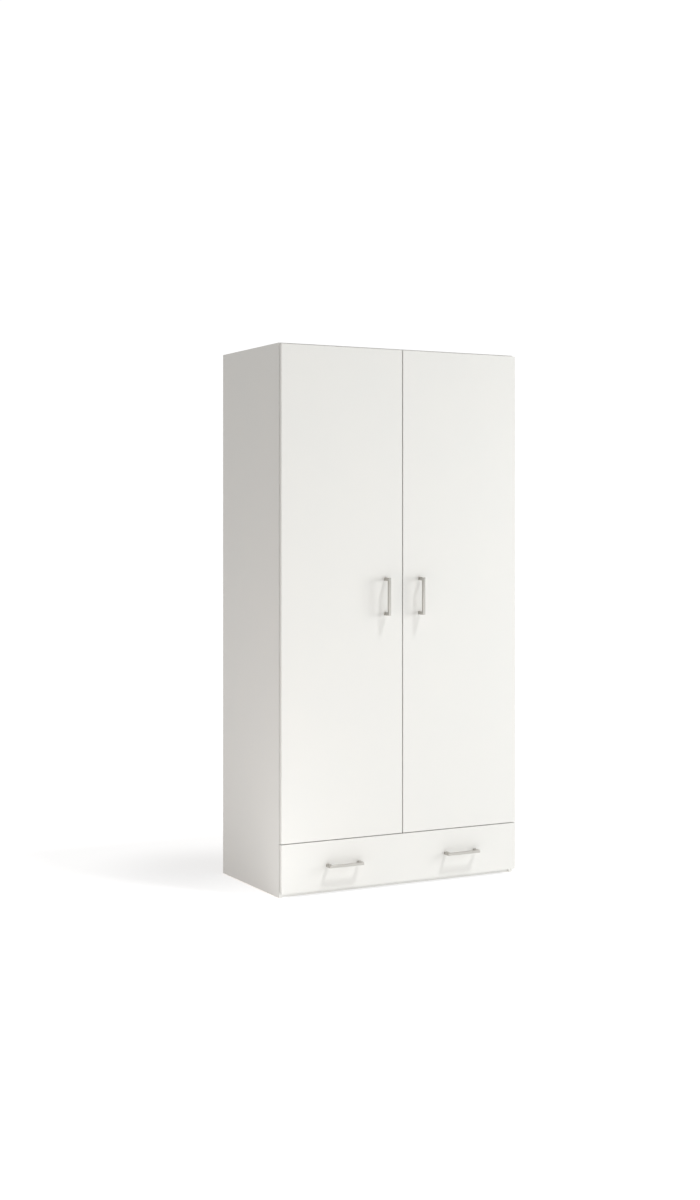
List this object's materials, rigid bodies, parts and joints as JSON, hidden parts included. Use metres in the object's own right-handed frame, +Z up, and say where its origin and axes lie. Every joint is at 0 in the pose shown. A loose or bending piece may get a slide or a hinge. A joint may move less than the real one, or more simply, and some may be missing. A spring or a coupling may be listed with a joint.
{
  "type": "wardrobe",
  "caption": "Tall white wardrobe with hinged doors over a full-width drawer, bow handles, a hat shelf and a hanging rail.",
  "frame": {"origin": "on the floor, under the middle of the whole wardrobe with its handles", "axes": "+Z up; the doors face -Y; +X to the viewer's right when facing the doors"},
  "size_m": [1, 0.555, 2],
  "materials": {
    "white_melamine": "white melamine-faced particle board with white edge band, satin",
    "white_hardboard": "thin hardboard, white lacquered on its inner face",
    "white_plastic": "moulded white plastic",
    "clear_plastic": "soft translucent pads",
    "white_coated_steel": "white epoxy coating",
    "satin_nickel": "satin nickel plating",
    "chromed_steel": "chromed tube",
    "plated_steel": "nickel-plated pressed steel",
    "zinc_screws": "zinc-plated",
    "cast_zinc": "die-cast zinc",
    "beech": "plain beech"
  },
  "bodies": {
    "carcass": {"side_panel_left": "white_melamine", "side_panel_right": "white_melamine", "top_panel": "white_melamine", "compartment_floor": "white_melamine", "hat_shelf": "white_melamine", "plinth_front": "white_melamine", "plinth_rear": "white_melamine", "back_panel_left": "white_hardboard", "back_panel_right": "white_hardboard", "back_joint_strip": "white_plastic", "hanging_rail": "chromed_steel", "rail_sockets": "white_plastic", "rail_socket_screws": "zinc_screws", "shelf_pins": "plated_steel", "cam_nuts": "cast_zinc", "cam_bolts": "zinc_screws", "dowels": "beech", "floor_glides": "white_plastic", "back_panel_nails": "zinc_screws", "wall_brackets": "plated_steel", "wall_bracket_screws": "zinc_screws", "bumper_pads": "clear_plastic", "hinge_plates": "plated_steel", "hinge_plate_screws": "zinc_screws", "hinge_arms": "plated_steel", "hinge_arm_screws": "zinc_screws", "cabinet_rail_left": "white_coated_steel", "cabinet_rail_right": "white_coated_steel", "runner_screws": "zinc_screws"},
    "left_door": {"door_left": "white_melamine", "door_handle_left": "satin_nickel", "hinge_cups_left": "plated_steel", "cup_screws_left": "zinc_screws", "handle_screws_left": "zinc_screws"},
    "right_door": {"door_right": "white_melamine", "door_handle_right": "satin_nickel", "hinge_cups_right": "plated_steel", "cup_screws_right": "zinc_screws", "handle_screws_right": "zinc_screws"},
    "drawer": {"drawer_front": "white_melamine", "drawer_side_left": "white_melamine", "drawer_side_right": "white_melamine", "drawer_back": "white_melamine", "drawer_bottom": "white_hardboard", "drawer_stiffener": "white_coated_steel", "drawer_handle_left": "satin_nickel", "drawer_handle_right": "satin_nickel", "drawer_handle_screws": "zinc_screws", "drawer_rail_left": "white_coated_steel", "drawer_rail_right": "white_coated_steel", "drawer_rail_screws": "zinc_screws", "drawer_cam_nuts": "cast_zinc", "drawer_cam_bolts": "zinc_screws", "drawer_back_screws": "zinc_screws"},
    "cabinet_rollers": {"cabinet_rollers": "white_plastic"},
    "drawer_rollers": {"drawer_rollers": "white_plastic"}
  },
  "joints": [
    {"name": "left_door_swing", "type": "hinge", "parent": "carcass", "child": "left_door", "pos_m": [-0.49139, -0.235, 1.097], "axis": [0, 0, -1], "range_deg": [0, 100]},
    {"name": "right_door_swing", "type": "hinge", "parent": "carcass", "child": "right_door", "pos_m": [0.49139, -0.235, 1.097], "axis": [0, 0, 1], "range_deg": [0, 100]},
    {"name": "drawer_slide", "type": "slide", "parent": "carcass", "child": "drawer", "axis": [0, -1, 0], "range_m": [0, 0.33]},
    {"name": "cabinet_roller_turn", "type": "hinge", "parent": "carcass", "child": "cabinet_rollers", "pos_m": [0, -0.2045, 0.07225], "axis": [1, 0, 0], "range_deg": [0, 1900]},
    {"name": "drawer_roller_turn", "type": "hinge", "parent": "drawer", "child": "drawer_rollers", "pos_m": [0, 0.2015, 0.07212], "axis": [1, 0, 0], "range_deg": [0, 1900]}
  ],
  "couplings": [
    {"joint": "cabinet_roller_turn", "follows": "drawer_slide", "rad_per_m": 100},
    {"joint": "drawer_roller_turn", "follows": "drawer_slide", "rad_per_m": 100}
  ]
}
